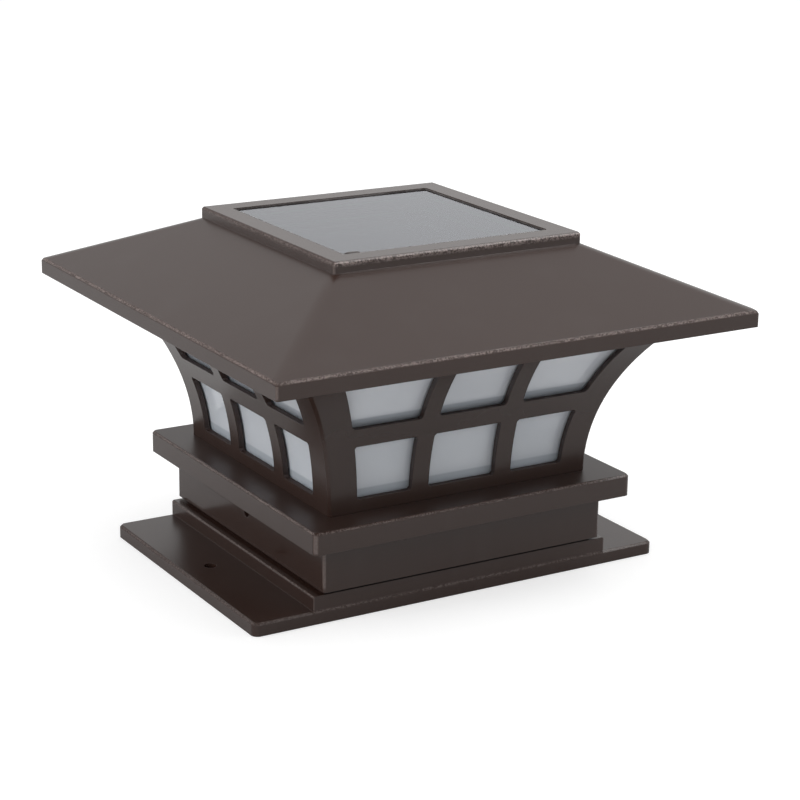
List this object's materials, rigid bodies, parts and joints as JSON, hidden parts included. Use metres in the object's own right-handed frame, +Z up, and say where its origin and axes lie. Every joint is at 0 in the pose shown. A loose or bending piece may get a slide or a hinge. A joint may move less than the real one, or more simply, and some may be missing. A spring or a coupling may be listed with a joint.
{
  "type": "deck post cap light",
  "caption": "Square solar post cap light: hipped roof with a panel, flared lattice lantern with frosted panes, collar neck and a flanged deck mounting base.",
  "frame": {"origin": "centre of the mounting base's underside, on the light's upright axis", "axes": "+Z up, +X towards one screw flange, -Y out of the broad front face"},
  "size_m": [0.22, 0.22, 0.1442],
  "materials": {
    "brown_plastic": "satin moulded",
    "frosted_pane": "frosted",
    "panel_glass": "polished",
    "cell_silicon": "satin",
    "board": "solder resist",
    "tape": "matt",
    "foam": "matt foam",
    "red_wire": "satin",
    "black_wire": "satin",
    "rubber_seal": "matt",
    "white_plastic": "satin",
    "black_plastic": "matt moulded",
    "steel": "plated",
    "battery_can": "shrink sleeve",
    "spring_steel": "plated",
    "components": "matt",
    "led_package": "satin"
  },
  "bodies": {
    "base": {"mounting_base": "brown_plastic"},
    "lamp": {"post_collar": "brown_plastic", "lantern_frame": "brown_plastic", "diffuser_front": "frosted_pane", "diffuser_right": "frosted_pane", "diffuser_back": "frosted_pane", "diffuser_left": "frosted_pane", "roof_cover": "brown_plastic", "soffit_plate": "brown_plastic", "roof_gasket": "foam", "panel_tape": "tape", "panel_board": "board", "solar_cells": "cell_silicon", "panel_glass": "panel_glass", "panel_lead_red": "red_wire", "panel_lead_black": "black_wire", "lead_seal": "rubber_seal", "lead_grommet": "rubber_seal", "reflector": "white_plastic", "pod_housing": "black_plastic", "pod_cover": "black_plastic", "hinge_pin": "steel", "pod_gasket": "foam", "battery_cell": "battery_can", "contact_plate": "spring_steel", "contact_strip": "spring_steel", "contact_spring": "spring_steel", "control_board": "board", "board_components": "components", "board_link": "spring_steel", "led_board": "board", "leds": "led_package", "switch_body": "steel", "collar_screws": "steel", "pod_screws": "steel", "roof_screws": "steel", "soffit_screws": "steel", "board_screws": "steel", "led_screws": "steel"},
    "door": {"battery_door": "black_plastic", "door_seal": "rubber_seal"},
    "switch": {"switch_slider": "black_plastic"}
  },
  "joints": [
    {"name": "lamp_lift", "type": "slide", "parent": "base", "child": "lamp", "axis": [0, 0, 1], "range_m": [0, 0.05]},
    {"name": "battery_door_hinge", "type": "hinge", "parent": "lamp", "child": "door", "pos_m": [0, -0.0306, 0.0346], "axis": [-1, 0, 0], "range_deg": [0, 85]},
    {"name": "switch_slide", "type": "slide", "parent": "lamp", "child": "switch", "axis": [1, 0, 0], "range_m": [0, 0.003]}
  ]
}
